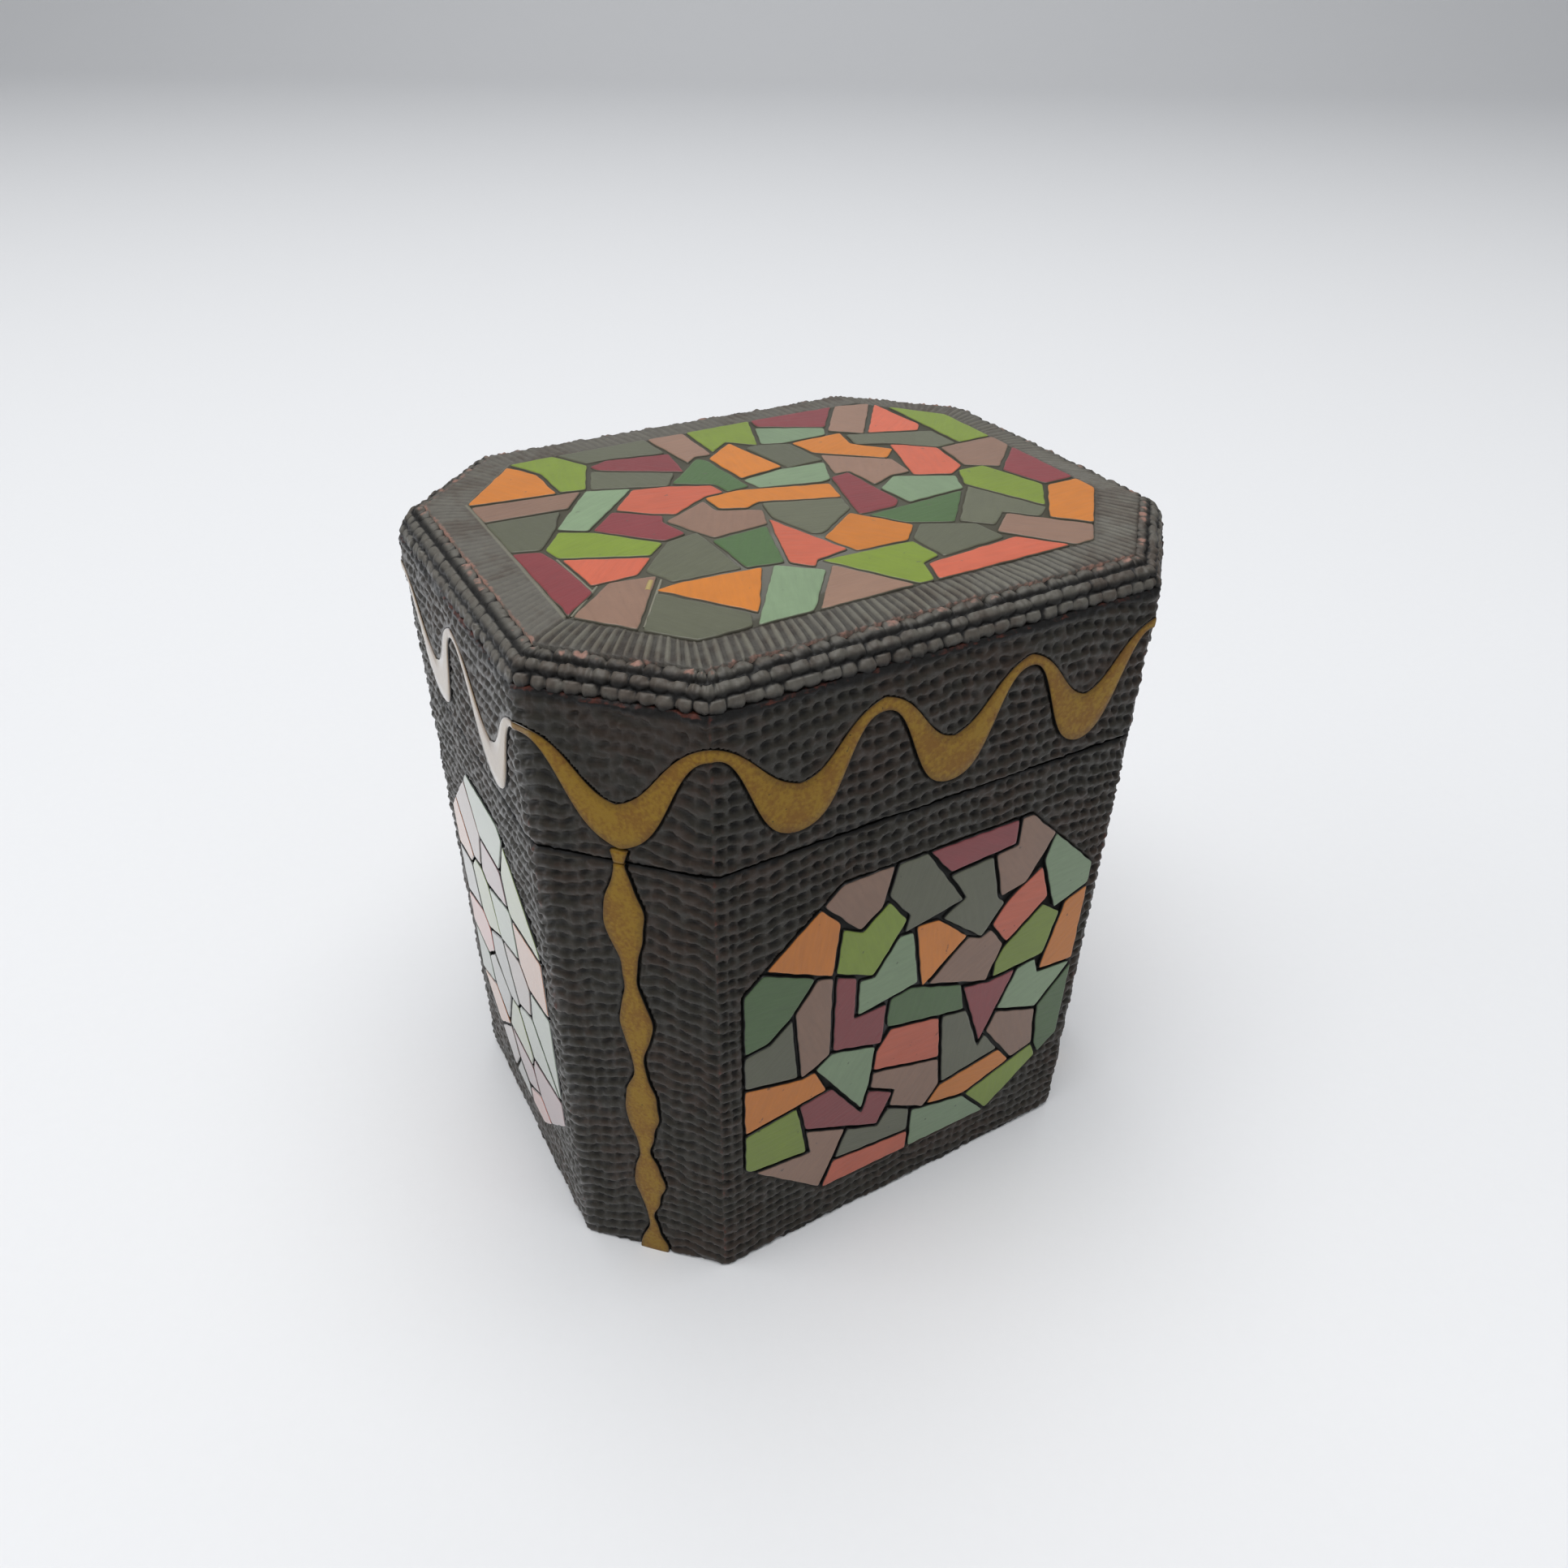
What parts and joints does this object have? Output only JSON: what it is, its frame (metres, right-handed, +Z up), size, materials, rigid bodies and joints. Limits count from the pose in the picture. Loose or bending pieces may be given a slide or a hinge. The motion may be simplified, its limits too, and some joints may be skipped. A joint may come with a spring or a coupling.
{
  "type": "wooden tea caddy",
  "caption": "Eight-sided wooden tea caddy with a lift-off lid, carved ground, gilt wave ribbon, beaded edge and painted crazy-paving mosaic panels.",
  "frame": {"origin": "middle of the underside, on the surface that the caddy stands on", "axes": "+Z up; the long front face looks along -Y, and the short left face along -X"},
  "size_m": [0.13, 0.106, 0.14],
  "materials": {
    "carved_ground": "dark stained wood, hand gouged, with a worn semi-gloss varnish",
    "painted_mosaic": "carved tiles painted in eight muted and bright colours, varnished",
    "gilt_ribbon": "old gold paint on carved wood, specked and slightly rubbed",
    "inside_wood": "plain stained wood, matt"
  },
  "bodies": {
    "root": {"caddy_body": "carved_ground", "caddy_lid": "carved_ground"}
  },
  "joints": []
}
